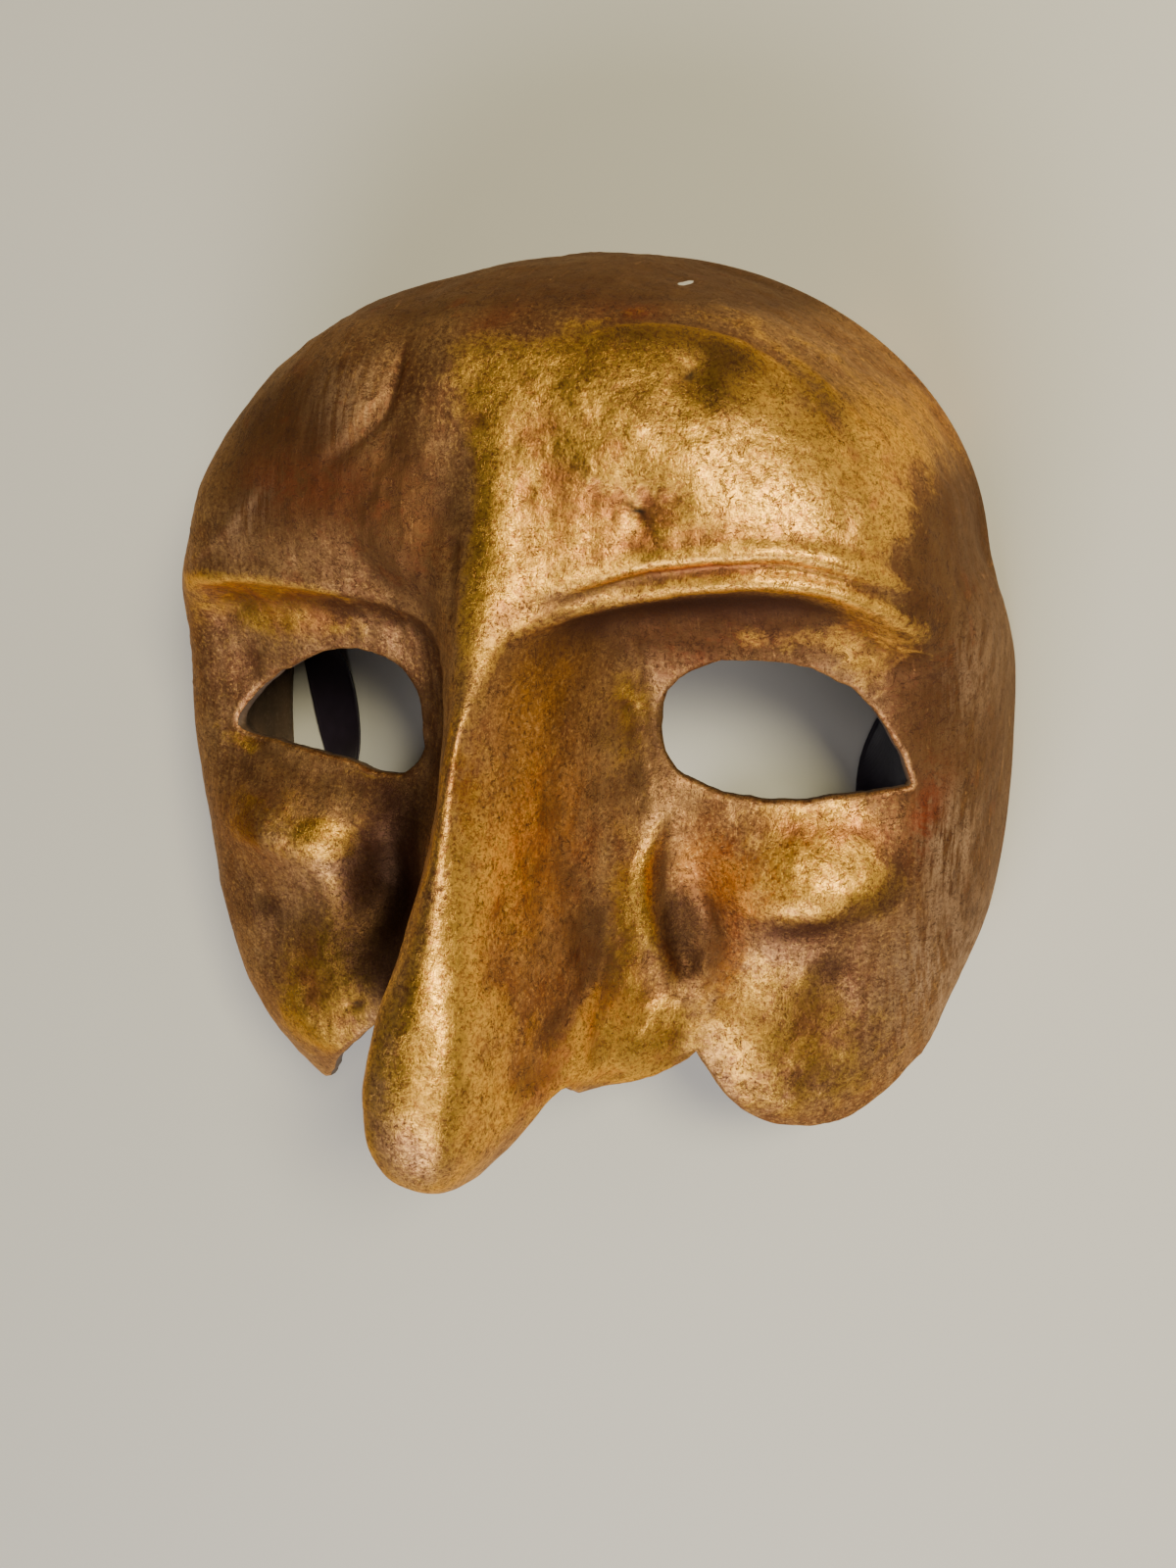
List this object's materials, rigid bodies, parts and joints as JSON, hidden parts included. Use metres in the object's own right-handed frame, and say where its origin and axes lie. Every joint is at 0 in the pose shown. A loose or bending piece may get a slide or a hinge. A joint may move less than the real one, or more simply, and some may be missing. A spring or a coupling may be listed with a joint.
{
  "type": "pantalone mask",
  "caption": "Hollow gilded papier-mache half mask with a hooked nose, open eye holes and satin ribbon ties, lying on its rim.",
  "frame": {"origin": "middle of the mask's outline, on the plane of its cut rim", "axes": "+X to the viewer's right, +Y from the nose tip up to the forehead, +Z out of the face; the mask lies on its rim"},
  "size_m": [0.1516, 0.1576, 0.1091],
  "materials": {
    "gilding": "satin gold and bronze paint rubbed over papier-mache, with red-brown patches and dark patina",
    "satin": "black-violet satin ribbon"
  },
  "bodies": {
    "root": {"mask_shell": "gilding", "left_ribbon": "satin", "left_ribbon_coil": "satin", "right_ribbon": "satin", "right_ribbon_coil": "satin"}
  },
  "joints": []
}
